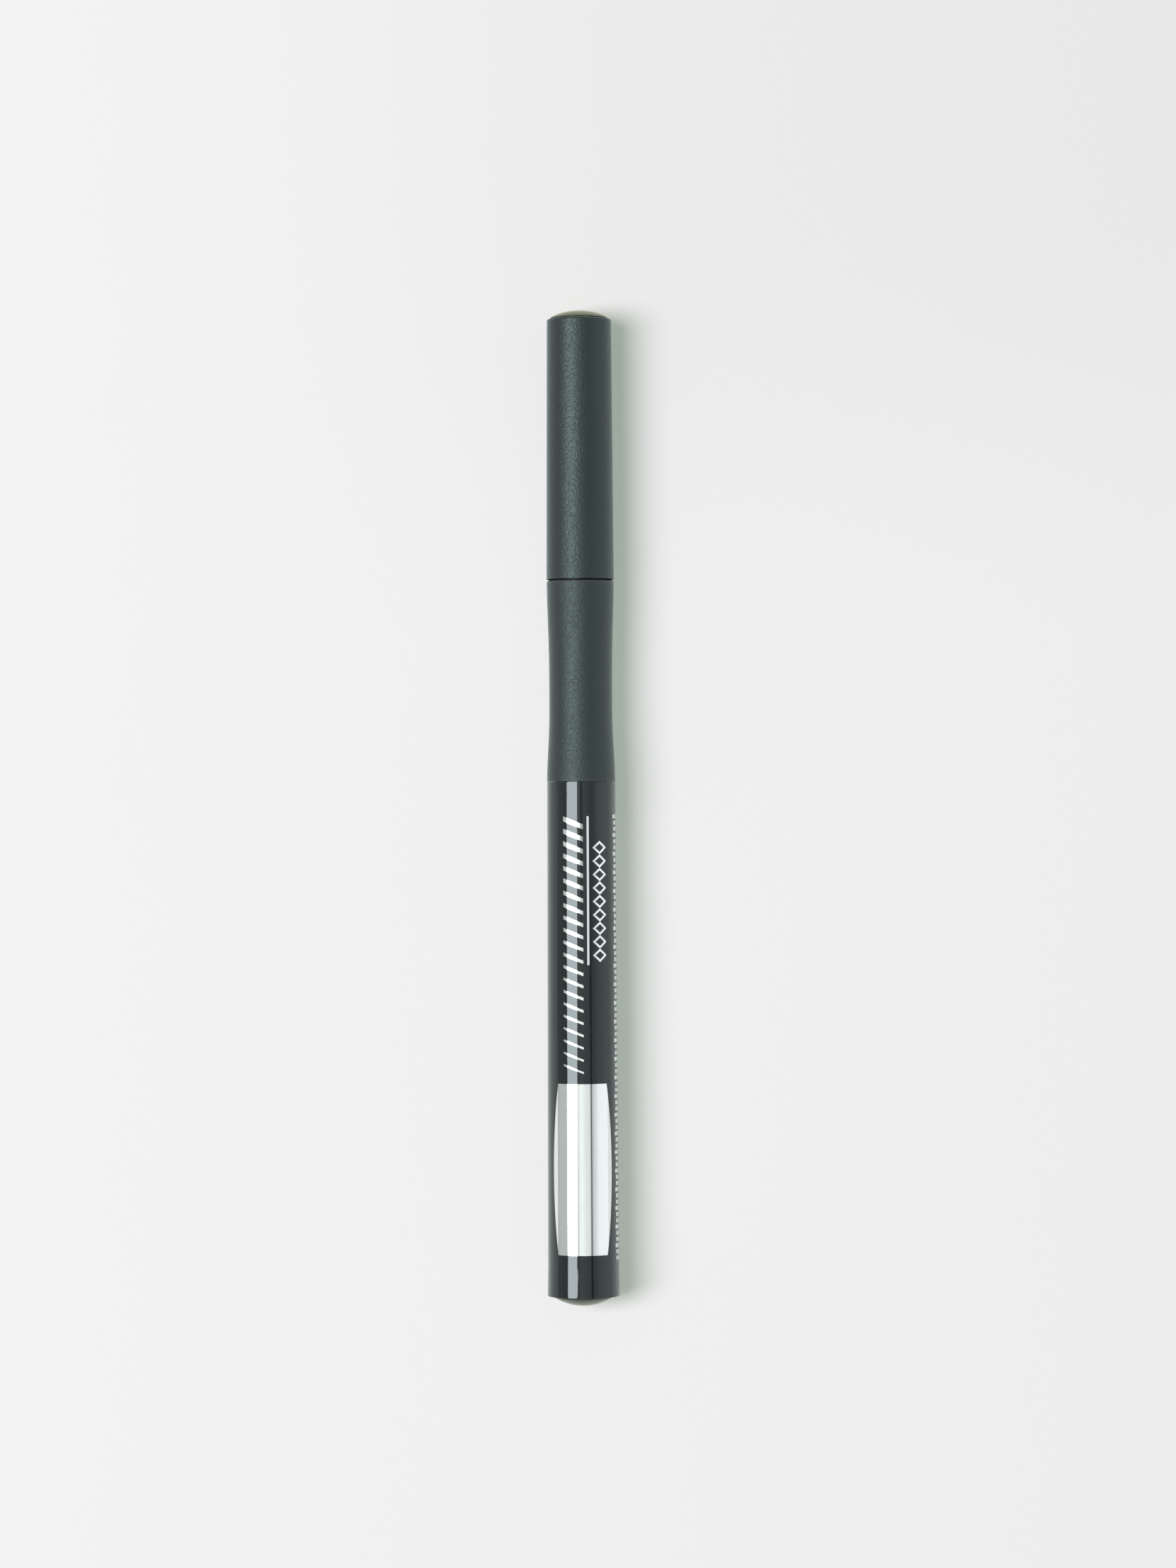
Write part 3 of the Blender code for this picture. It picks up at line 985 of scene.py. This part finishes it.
def makeNose():
    # A cone with a full belly
    stemRear, tip = ends("nib_holder")
    base = stemRear + nose["stemLength"]
    cone = curve((nose["tipRadius"], tip), (nose["baseRadius"], base + nose["baseLength"]),
                 nose["steps"], lambda share: 1 - (1 - share) ** nose["bellyPower"])
    corners = [
        (nose["boreRadius"], tip, nose["boreFillet"]),
        (nose["tipRadius"], tip, nose["tipFillet"]),
        *cone,
        (nose["baseRadius"], base, nose["baseFillet"]),
        (nose["stemRadius"], base),
        (nose["stemRadius"], stemRear, nose["stemFillet"]),
        (nose["boreRadius"], stemRear),
    ]
    piece = turnPiece("noseCone", corners, ["noseMoulding"])
    fit(piece, "pen", "holder_plastic", "nib_holder")


nib = {
    "radius": 0.85,
    "reach": 6.3,
    "endFillet": 0.2,
    "pointRadius": 0.2,
    "pointSweep": math.radians(80),
    "pointSteps": 5,
    "bellyPower": 1.15,
    "steps": 24,
    "turns": 72,
    "fray": 0.012,
    "frayFrom": 0.05,                    # the point itself is smooth
    "ridgesPerMetre": (6000, 250),       # round the felt, and along it
    "seed": 4.2,
}


def makeNib():
    # A round point, then a slender belly down to the stem
    rear, tip = ends("nib")
    point = nib["pointRadius"]
    pointBase = (point, tip - point)
    corners = [(0, tip)]
    for step in range(1, nib["pointSteps"]):
        angle = nib["pointSweep"] * step / nib["pointSteps"]
        corners.append((point * math.sin(angle), tip - point + point * math.cos(angle)))
    corners += [
        pointBase,
        *curve(pointBase, (nib["radius"], tip - nib["reach"]), nib["steps"],
               lambda share: 1 - (1 - share) ** nib["bellyPower"]),
        (nib["radius"], rear, nib["endFillet"]),
        (0, rear),
    ]
    body = bmesh.new()
    turnBody(body, corners, turns=nib["turns"])
    ridgesRound, ridgesAlong = nib["ridgesPerMetre"]
    for vert in body.verts:
        # The bonded fibres leave low ridges along the felt
        x, y, z = vert.co
        out = Vector((x, 0, z - axisHeight * mm))
        if out.length < nib["frayFrom"] * mm:
            continue
        spot = Vector((x * ridgesRound, y * ridgesAlong, z * ridgesRound + nib["seed"]))
        vert.co += out.normalized() * (noise.noise(spot) - 0.5) * nib["fray"] * mm
    fit(makePiece("feltNib", body, ["felt"]), "pen", "nib_felt", "nib")


cap = {
    "mouthRadius": 4.66,
    "mouthFillet": 0.06,
    "mouthChamfer": 0.2,
    "topRadius": 4.45,
    "topFillet": 0.27,
    "boreRadius": 3.6,
    "rim": 0.3,
    "rimFillet": 0.04,
    "seatDepth": 0.7,
    "grooveAt": 3.3,
    "grooveDepth": 0.06,
    "grooveHalf": 0.5,
    "grooveFillet": 0.2,
    "bareWall": 0.45,        # the coat leaves the bore and this much of the wall bare
}


def makeCap():
    mouth, top = ends("cap_shell")
    seat = top - cap["seatDepth"]
    seatRadius = cap["topRadius"] - cap["rim"]
    bore = cap["boreRadius"]
    groove = mouth + cap["grooveAt"]
    corners = [
        (seatRadius, top, cap["rimFillet"]),
        (cap["topRadius"], top, cap["topFillet"]),
        (cap["mouthRadius"], mouth, cap["mouthFillet"]),
        (bore + cap["mouthChamfer"], mouth),
        (bore, mouth + cap["mouthChamfer"]),
        (bore, groove - cap["grooveHalf"], cap["grooveFillet"]),
        (bore + cap["grooveDepth"], groove, cap["grooveFillet"]),
        (bore, groove + cap["grooveHalf"], cap["grooveFillet"]),
        (bore, seat),
        (seatRadius, seat),
    ]

    def finishAt(radius, along):
        # Painted shade covers the mouth, up to the middle of its fillet
        if along < mouth + cap["mouthFillet"] / 2:
            return 2
        return 1 if radius < bore + cap["bareWall"] else 0

    piece = turnPiece("capTube", corners, ["capSoftTouch", "blackMoulding", "paintedGapShade"], finishAt)
    fit(piece, "cap", "cap_soft_touch", "cap_shell")


capPlug = {
    "headRadius": 4.05,
    "headThickness": 0.6,
    "headSeat": 0.2,         # how far inside the shell the head has its full radius
    "rise": 1.2,
    "lipInset": 0.01,
    "lipFillet": 0.05,
    "lipClear": 0.02,        # the dome ends at least this far from its lip
    "grooveDepth": 0.16,
    "grooveWidth": 0.13,
    "grooveSeat": 0.1,       # how far inside the shell the groove starts
    "paintedShadeReach": 0.01,       # how far the groove's dark look goes round the lip
    "stemRadius": 3.5,
    "stemFillet": 0.25,
}


def makeCapPlug():
    stemEnd = ends("cap_top_plug")[0]
    top = ends("cap_shell")[1]
    neck = top - capPlug["headThickness"]
    # A fine groove separates the dome from the shell's rim
    lip = top + capPlug["grooveWidth"]
    dome = softDome(top, capPlug["headRadius"], capPlug["rise"])
    dome = [spot for spot in dome if spot[1] > lip + capPlug["lipClear"]]
    lipRadius = capPlug["headRadius"] - capPlug["lipInset"]
    grooveRadius = lipRadius - capPlug["grooveDepth"]
    corners = [
        *dome,
        (lipRadius, lip, capPlug["lipFillet"]),
        (grooveRadius, lip),
        (grooveRadius, top - capPlug["grooveSeat"]),
        (capPlug["headRadius"], top - capPlug["headSeat"]),
        (capPlug["headRadius"], neck),
        (capPlug["stemRadius"], neck),
        (capPlug["stemRadius"], stemEnd, capPlug["stemFillet"]),
        (0, stemEnd),
    ]

    def finishAt(radius, along):
        # Painted shade lies in the groove between the dome and the shell's rim, a little way round the lip
        atGroove = top - capPlug["headSeat"] < along < lip + capPlug["paintedShadeReach"]
        return 1 if atGroove and radius < lipRadius else 0

    piece = turnPiece("capPlugDome", corners, ["capPlugSatin", "paintedGapShade"], finishAt)
    fit(piece, "cap", "cap_plug_satin", "cap_top_plug")


liner = {
    "radius": 3.5,
    "topFillet": 0.6,
    "mouthFillet": 0.08,
    "boreRadius": 3.1,
    "boreFillet": 0.12,
    "floor": 0.8,
    "floorFillet": 0.4,
    "sealBead": 0.05,
    "sealAt": 0.9,
    "sealHalf": 0.3,
    "sealFillet": 0.15,
    "sealFootFillet": 0.1,
}


def makeLiner():
    # A cup with a low sealing bead inside its mouth
    mouth, top = ends("inner_cap")
    bore = liner["boreRadius"]
    seal = mouth + liner["sealAt"]
    floor = top - liner["floor"]
    corners = [
        (0, top),
        (liner["radius"], top, liner["topFillet"]),
        (liner["radius"], mouth, liner["mouthFillet"]),
        (bore, mouth, liner["boreFillet"]),
        (bore, seal - liner["sealHalf"], liner["sealFootFillet"]),
        (bore - liner["sealBead"], seal, liner["sealFillet"]),
        (bore, seal + liner["sealHalf"], liner["sealFootFillet"]),
        (bore, floor, liner["floorFillet"]),
        (0, floor),
    ]
    fit(turnPiece("linerCup", corners, ["liner"]), "cap", "liner_plastic", "inner_cap")


# The pieces that stay hidden keep their CAD meshes
hiddenLooks = {
    "feed_wick": "wick",
    "wick_guide": "guideMoulding",
    "ink_reservoir": "reservoir",
    "reservoir_film": "wrap",
}

makeBarrel()
makeRearPlug()
makeGrip()
makeSection()
makeNose()
makeNib()
makeCap()
makeCapPlug()
makeLiner()
for node, look in hiddenLooks.items():
    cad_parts[node].material_slots[0].material = finishes[look]
print("turned pieces made")


# Foil and print on the barrel. A patch has a place function, which turns two
# shares from 0 to 1 into degrees round the pen and millimetres along it.

film = {
    "lift": 0.012,           # how far it stands proud
    "depth": 0.03,           # its whole thickness, mostly sunk in the lacquer
}

barrelRear, barrelFront = ends("barrel")
taperLength = barrelFront - barrelRear - barrel["flareLength"]


def barrelRadius(along):
    share = (barrelFront - along) / taperLength
    return barrel["frontRadius"] + (barrel["taperRadius"] - barrel["frontRadius"]) * share


def onBarrel(degrees, along, lift):
    return onPen(barrelRadius(along) + lift, math.radians(degrees), along)


def addFilm(body, place, across, lengthwise):
    # A thin closed patch on the barrel, in steps across and lengthwise
    layers = []
    for lift in (film["lift"] - film["depth"], film["lift"]):
        layer = [[body.verts.new(onBarrel(*place(u / across, v / lengthwise), lift))
                  for u in range(across + 1)] for v in range(lengthwise + 1)]
        layers.append(layer)
    lower, upper = layers
    for layer in layers:
        for v in range(lengthwise):
            for u in range(across):
                body.faces.new((layer[v][u], layer[v][u + 1], layer[v + 1][u + 1], layer[v + 1][u]))
    rim = [(v, 0) for v in range(lengthwise)] + [(lengthwise, u) for u in range(across)]
    rim += [(v, across) for v in range(lengthwise, 0, -1)] + [(0, u) for u in range(across, 0, -1)]
    for here, there in zip(rim, rim[1:] + rim[:1]):
        body.faces.new((lower[here[0]][here[1]], lower[there[0]][there[1]],
                        upper[there[0]][there[1]], upper[here[0]][here[1]]))


def makeFilm(name, look, slot, places, across, lengthwise=1):
    # One object from the place functions of its patches
    body = bmesh.new()
    for place in places:
        addFilm(body, place, across, lengthwise)
    fit(makePiece(name, body, [look]), "pen", slot)


def stroke(fromAngle, toAngle, front, length, slant=0):
    # A straight stroke, whose second side lies further to the rear by the slant
    def place(u, v):
        return fromAngle + (toAngle - fromAngle) * u, front - slant * u - length * v

    return place


foilPanel = {
    "start": -38.0,
    "end": -61.65,
    "endHalfAngle": 43.3,
    "middleHalfAngle": 54.5,
    "turn": -0.6,
    "across": 96,
    "lengthwise": 60,
    "ragged": 0.035,         # how uneven its two ends are
    "raggedSteps": 40,
    "endsApart": 9,          # how far apart in the noise the two ends are
    "seed": 2.7,
}


def makeFoilPanel():
    # A plain panel whose long sides bow outwards
    panel = foilPanel
    bow = panel["middleHalfAngle"] - panel["endHalfAngle"]

    def place(u, v):
        halfAngle = panel["endHalfAngle"] + bow * (1 - (v * 2 - 1) ** 2)
        along = panel["start"] + (panel["end"] - panel["start"]) * v
        if v in (0, 1):
            spot = Vector((u * panel["raggedSteps"], v * panel["endsApart"], panel["seed"]))
            along += noise.noise(spot) * panel["ragged"]
        return (u * 2 - 1) * halfAngle + panel["turn"], along

    makeFilm("foilPanel", "foil", "silver_foil", [place], panel["across"], panel["lengthwise"])


foilRule = {
    "fromAngle": 8.7,
    "toAngle": 12.4,
    "start": -1.1,
    "end": -21.6,
    "across": 3,
    "lengthwise": 20,
}


def makeFoilRule():
    # A thin plain line
    rule = foilRule
    place = stroke(rule["fromAngle"], rule["toAngle"], rule["start"], rule["start"] - rule["end"])
    makeFilm("foilRule", "foil", "silver_foil", [place], rule["across"], rule["lengthwise"])


slantedBars = {
    "count": 21,
    "fromAngle": -31.8,
    "toAngle": 2.2,
    "start": -1.1,
    "end": -36.6,
    "slant": 1.1,
    "widest": 0.70,
    "narrowest": 0.26,
    "across": 16,
}


def makeSlantedBars():
    # A plain row of slanted bars that thin out towards the foil panel
    bars = slantedBars
    pitch = (bars["start"] - bars["end"] - bars["slant"] - bars["narrowest"]) / (bars["count"] - 1)
    places = []
    for index in range(bars["count"]):
        share = index / (bars["count"] - 1)
        width = bars["widest"] + (bars["narrowest"] - bars["widest"]) * share
        front = bars["start"] - pitch * index
        places.append(stroke(bars["fromAngle"], bars["toAngle"], front, width, bars["slant"]))
    makeFilm("slantedBars", "foil", "silver_foil", places, bars["across"])


diamonds = {
    "count": 9,
    "midAngle": 31.4,
    "halfAngle": 13.1,
    "start": -4.5,
    "end": -21.2,
    "line": 0.26,
    "across": 6,
}


def diamondSide(centre, halfLength, inset, first, second):
    # One mitred side of an open diamond, from one of its corners to the next
    def place(u, v):
        x, y = (a + (b - a) * u for a, b in zip(first, second))
        shrink = 1 - inset * v / halfLength
        return diamonds["midAngle"] + x * diamonds["halfAngle"] * shrink, centre + y * halfLength * shrink

    return place


def makeDiamonds():
    # A row of plain open diamonds
    pitch = (diamonds["start"] - diamonds["end"]) / diamonds["count"]
    halfLength = pitch / 2
    halfWidth = math.radians(diamonds["halfAngle"]) * barrelRadius(diamonds["start"])
    inset = diamonds["line"] / math.sin(math.atan2(halfWidth, halfLength))
    corners = [(1, 0), (0, 1), (-1, 0), (0, -1)]
    places = []
    for index in range(diamonds["count"]):
        centre = diamonds["start"] - pitch * (index + 0.5)
        for first, second in zip(corners, corners[1:] + corners[:1]):
            places.append(diamondSide(centre, halfLength, inset, first, second))
    makeFilm("diamondRow", "foil", "silver_foil", places, diamonds["across"])


fineTicks = {
    "angle": 78.0,
    "halfAngle": 12.8,
    "shortHalfAngle": 10.0,
    "longEvery": 3,
    "start": -0.9,
    "end": -63.0,
    "pitch": 0.86,
    "width": 0.52,
    "across": 4,
}


def makeFineTicks():
    # A row of small foil ticks at the barrel's side, with one long tick in three
    ticks = fineTicks
    places = []
    for index in range(int((ticks["start"] - ticks["end"]) / ticks["pitch"])):
        half = ticks["shortHalfAngle"] if index % ticks["longEvery"] else ticks["halfAngle"]
        front = ticks["start"] - ticks["pitch"] * index
        places.append(stroke(ticks["angle"] - half, ticks["angle"] + half, front, ticks["width"]))
    makeFilm("fineTicks", "foil", "silver_foil", places, ticks["across"])


fineDashes = {
    "firstAngle": 93.0,
    "angleStep": 7.0,
    "rows": 7,
    "start": -1.2,
    "end": -63.0,
    "dash": 0.55,
    "pitch": 0.95,
    "width": 0.2,
    "across": 1,
}


def makeFineDashes():
    # Rows of small pale dashes, every second row shifted by half a step
    dashes = fineDashes
    places = []
    for row in range(dashes["rows"]):
        angle = dashes["firstAngle"] + dashes["angleStep"] * row
        shift = dashes["pitch"] / 2 * (row % 2)
        for index in range(int((dashes["start"] - dashes["end"]) / dashes["pitch"])):
            front = dashes["start"] - shift - dashes["pitch"] * index
            half = math.degrees(dashes["width"] / 2 / barrelRadius(front))
            places.append(stroke(angle - half, angle + half, front, dashes["dash"]))
    makeFilm("fineDashes", "paleInk", "pale_print", places, dashes["across"])


makeFoilPanel()
makeFoilRule()
makeSlantedBars()
makeDiamonds()
makeFineTicks()
makeFineDashes()
print("foil and print made")


# Floor, light and camera

backdrop = (0.86, 0.865, 0.862)      # all that the camera sees beyond the table

table = {
    "size": 5.0,
    "cells": 8,
    "below": 0.00003,
    "colour": (0.838, 0.758, 0.845),
    "shadeColour": (0.829, 0.750, 0.836),
    "roughness": 0.7,
    "cloud": {"size": 40, "detail": 4, "shift": 3},
    "tooth": {"size": 0.5, "detail": 3, "shift": 5},
    "toothDepth": 0.01,
    "toothRoughness": 0.1,
    # The table is faintly lit from inside, so that its shadows stay pale
    "glow": (0.269, 0.325, 0.266),
    "farGlow": (0.233, 0.289, 0.230),
    # The glow fades to the right and towards the cap's end, in millimetres
    "fadesAcross": (-60.0, 20.0),
    "fadesAlong": (20.0, 85.0),
    # Well away from the pen the table blends into the backdrop
    "backdropFrom": (160.0, 600.0),
}


def makeTable():
    board = newFinish("paleTable")
    cloud = board.grain(**table["cloud"])
    tooth = board.grain(**table["tooth"])
    across, along = (spot / mm for spot in board.axes(board.at())[:2])
    fade = board.band(across, *table["fadesAcross"]) * board.band(along, *table["fadesAlong"])
    far = board.band(board.vector("LENGTH", board.at(), output=1) / mm, *table["backdropFrom"])
    plain = board.node("ShaderNodeEmission", None, {"Color": backdrop, "Strength": 1})
    # Only what the camera sees blends, also by way of metal or glass
    camera, glossy, through = board.rays()
    seen = board.maths("MAXIMUM", board.maths("MAXIMUM", camera, glossy), through)
    board.surface({
        "Base Color": board.mix(cloud, table["colour"], table["shadeColour"]),
        "Roughness": tooth * table["toothRoughness"] + table["roughness"],
        "Normal": board.bump(tooth, table["toothDepth"]),
        "Specular IOR Level": 0.2,
        "Emission Color": board.mix(fade, table["glow"], table["farGlow"]),
        "Emission Strength": 1.0,
    }, (far * seen, plain))
    body = bmesh.new()
    bmesh.ops.create_grid(body, x_segments=table["cells"], y_segments=table["cells"],
                          size=table["size"] / 2)
    bmesh.ops.translate(body, verts=body.verts, vec=(0, 0, -table["below"]))
    makePiece("table", body, ["paleTable"])


softbox = {
    "distance": 2.0,
    "angle": 32.1,           # left of straight up
    "length": 1.464,
    "breadth": 0.848,
    "spin": 22.2,            # its long axis, from across the pen towards its cap
    "radiance": 9.4,
    "colour": (1.0, 0.985, 0.99),
}


def makeSoftbox():
    # One oval lamp, turned a little, as its slanted edges show in the gloss
    box = softbox
    tilt = math.radians(box["angle"])
    lamp = bpy.data.lights.new("softbox", "AREA")
    lamp.shape = "ELLIPSE"
    lamp.size = box["length"]
    lamp.size_y = box["breadth"]
    area = math.pi / 4 * box["length"] * box["breadth"]
    lamp.energy = box["radiance"] * math.pi * area
    lamp.color = box["colour"]
    holder = bpy.data.objects.new("softbox", lamp)
    bpy.context.scene.collection.objects.link(holder)
    holder.location = Vector((-math.sin(tilt), 0, math.cos(tilt))) * box["distance"]
    holder.rotation_mode = "ZYX"
    holder.rotation_euler = (0, -tilt, math.radians(box["spin"]))
    holder.visible_camera = False


room = {
    "ambient": (0.152, 0.160, 0.154),
    "leftTint": (0.94, 1.0, 0.965),
    "rightTint": (0.965, 1.0, 1.02),
    "tintFrom": (0, 36),
    # What the gloss shows, as (angle, level). The angle is a direction's, round
    # the pen's axis from straight up, in degrees. The first list is for the
    # pen's middle and cap end, and the second for its rear end.
    "frontBands": [
        (-180, 0.60), (-90, 0.72), (-60, 0.62), (-50, 0.60), (-14, 0.60), (-12.5, 1.50),
        (-9, 1.50), (-6, 1.05), (-3, 0.66), (-1, 0.44), (1, 0.44), (3, 0.76), (6, 1.02),
        (9.5, 1.05), (14, 0.97), (19, 0.89), (24, 0.80), (29, 0.66), (34, 0.66), (39, 0.71),
        (44, 0.79), (49, 0.93), (54, 1.08), (62, 1.15), (90, 1.12), (180, 0.60),
    ],
    "rearBands": [
        (-180, 0.60), (-90, 0.50), (-80, 0.55), (-70, 0.57), (-62, 0.55), (-54, 0.57), (-20, 0.66),
        (-14, 0.76), (-11, 1.04), (-4, 1.12), (0, 1.08), (5, 1.00), (9, 0.94), (14, 0.90), (19, 0.90),
        (24, 0.80), (25.8, 0.68), (26.8, 0.09), (29.4, 0.09), (30.6, 0.54), (38, 0.76), (43, 0.82),
        (48, 0.93), (54, 1.04), (90, 1.08), (180, 0.60),
    ],
    "rearFrom": (0.008, 0.036),          # how far the rays lean to the rear
}


def onRamp(angle):
    # A ramp runs once round the pen's axis, with straight up at its middle
    return angle / 360 + 0.5


def makeRoom():
    world = bpy.data.worlds.new("room")
    bpy.context.scene.world = world
    world.use_nodes = True
    board = Board(world.node_tree)
    x, y, z = board.axes(board.node("ShaderNodeTexCoord", output=0))
    turn = board.maths("ARCTAN2", x, z) / (2 * math.pi) + 0.5
    levels = []
    for bands in (room["frontBands"], room["rearBands"]):
        stops = [(onRamp(angle), (level, level, level)) for angle, level in bands]
        levels.append(board.node("ShaderNodeValToRGB", {"stops": stops}, {0: turn}))
    level = board.mix(board.band(y * -1, *room["rearFrom"]), *levels)
    tintFrom, tintTo = (onRamp(angle) for angle in room["tintFrom"])
    tint = board.mix(board.band(turn, tintFrom, tintTo), room["leftTint"], room["rightTint"])
    shown = board.mix(1.0, level, tint, "MULTIPLY")
    reflected, ambient, plain = (
        board.node("ShaderNodeBackground", None, {"Color": colour, "Strength": 1})
        for colour in (shown, room["ambient"], backdrop))
    camera, glossy, through = board.rays()
    direct = board.maths("MAXIMUM", camera, through)
    shade = board.node("ShaderNodeMixShader", None, {0: glossy, 1: ambient, 2: reflected})
    shade = board.node("ShaderNodeMixShader", None, {0: direct, 1: shade, 2: plain})
    board.node("ShaderNodeOutputWorld", None, {"Surface": shade})


photo = {
    "width": 1659,
    "height": 2212,
    "pixelSize": 0.09833,          # millimetres, at the height of the pen's axis
    "penMiddleColumn": 820.0,
    "penMiddleRow": 1140.0,
    "lean": -0.00502,              # radians, the cap end leans left
    "distance": 655.0,             # millimetres, from the lens down to the axis
    "sensor": 36,                  # millimetres
    "drawn": (0.01, 20),           # metres, the nearest and the farthest from the lens
}


def makeCamera():
    camera = bpy.data.cameras.new("camera")
    camera.sensor_width = photo["sensor"]
    camera.lens = camera.sensor_width * photo["distance"] / (photo["height"] * photo["pixelSize"])
    camera.clip_start, camera.clip_end = photo["drawn"]
    right = (photo["penMiddleColumn"] - photo["width"] / 2) * photo["pixelSize"]
    up = (photo["height"] / 2 - photo["penMiddleRow"]) * photo["pixelSize"]
    lean = photo["lean"]
    holder = bpy.data.objects.new("camera", camera)
    bpy.context.scene.collection.objects.link(holder)
    holder.location = Vector((
        -(right * math.cos(lean) - up * math.sin(lean)),
        -(right * math.sin(lean) + up * math.cos(lean)),
        axisHeight + photo["distance"],
    )) * mm
    holder.rotation_euler = (0, 0, lean)
    bpy.context.scene.camera = holder


makeTable()
makeSoftbox()
makeRoom()
makeCamera()
bpy.context.scene.view_settings.view_transform = "Standard"
print("floor, light and camera made")
